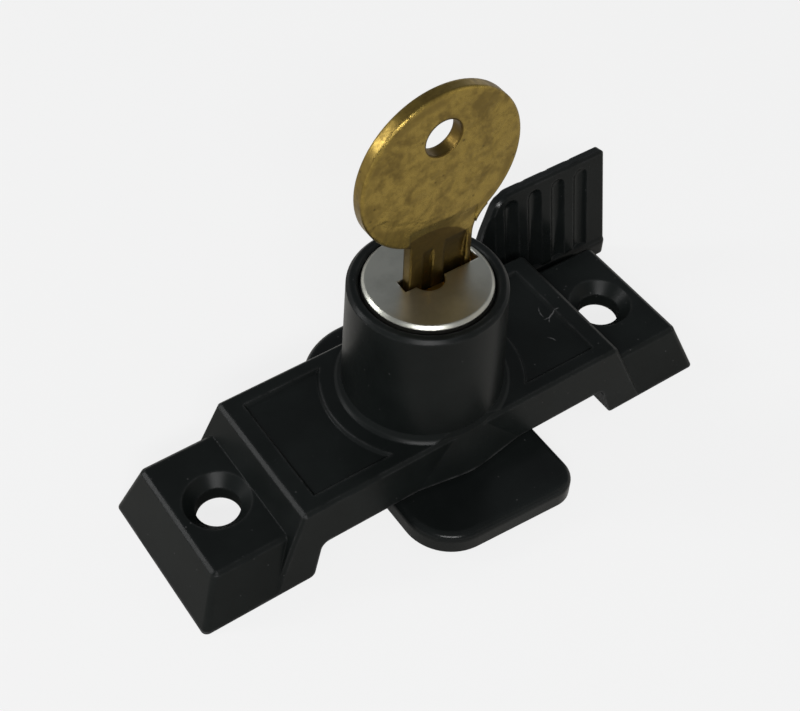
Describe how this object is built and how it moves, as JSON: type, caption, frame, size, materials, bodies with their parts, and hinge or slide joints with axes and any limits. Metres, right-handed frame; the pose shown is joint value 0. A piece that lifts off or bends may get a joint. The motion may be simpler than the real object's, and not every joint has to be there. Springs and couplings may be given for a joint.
{
  "type": "sliding window lock",
  "caption": "Keyed surface lock for a sliding window: a bridge-shaped black casting with a round lock tower over a swinging latch lever with a ribbed thumb fin.",
  "frame": {"origin": "on the lock's turning axis, midway between the two screw holes, in the mounting plane under the feet", "axes": "+X along the housing towards the thumb fin, -Y towards the latch nose, +Z out of the mounting face along the key"},
  "size_m": [0.083, 0.0399, 0.0582],
  "materials": {
    "black_coat": "satin black coat on a die-casting",
    "black_gloss": "glossy black coat on a casting",
    "face_steel": "satin stainless, pressed",
    "key_brass": "worn satin brass, tarnished",
    "plug_brass": "turned brass",
    "wafer_brass": "stamped brass",
    "spring_steel": "blued spring steel",
    "bolt_steel": "plain pressed steel",
    "cap_steel": "zinc-plated steel",
    "washer_steel": "bright zinc-plated steel",
    "washer_plastic": "natural acetal"
  },
  "bodies": {
    "housing": {"housing": "black_coat", "friction_washer": "washer_plastic", "thrust_washer": "washer_steel", "retaining_ring": "spring_steel", "spigot_cap": "cap_steel"},
    "latch": {"latch_lever": "black_gloss"},
    "plug": {"lock_plug": "plug_brass", "face_cap": "face_steel", "plug_clip": "spring_steel", "wafer_1": "wafer_brass", "wafer_2": "wafer_brass", "wafer_3": "wafer_brass", "wafer_4": "wafer_brass", "wafer_5": "wafer_brass", "wafer_spring_1": "spring_steel", "wafer_spring_2": "spring_steel", "wafer_spring_3": "spring_steel", "wafer_spring_4": "spring_steel", "wafer_spring_5": "spring_steel"},
    "key": {"key": "key_brass"},
    "bolt": {"locking_bolt": "bolt_steel"}
  },
  "joints": [
    {"name": "latch_turn", "type": "hinge", "parent": "housing", "child": "latch", "pos_m": [0, 0, 0.0027], "axis": [0, 0, 1], "range_deg": [0, 90]},
    {"name": "plug_turn", "type": "hinge", "parent": "housing", "child": "plug", "pos_m": [0, 0, 0.018], "axis": [0, 0, -1], "range_deg": [0, 90]},
    {"name": "key_slide", "type": "slide", "parent": "plug", "child": "key", "axis": [0, 0, 1], "range_m": [0, 0.024]},
    {"name": "bolt_slide", "type": "slide", "parent": "housing", "child": "bolt", "axis": [1, 0, 0], "range_m": [0, 0.00234]}
  ],
  "couplings": [
    {"joint": "bolt_slide", "follows": "plug_turn", "m_per_rad": 0.0014855}
  ]
}
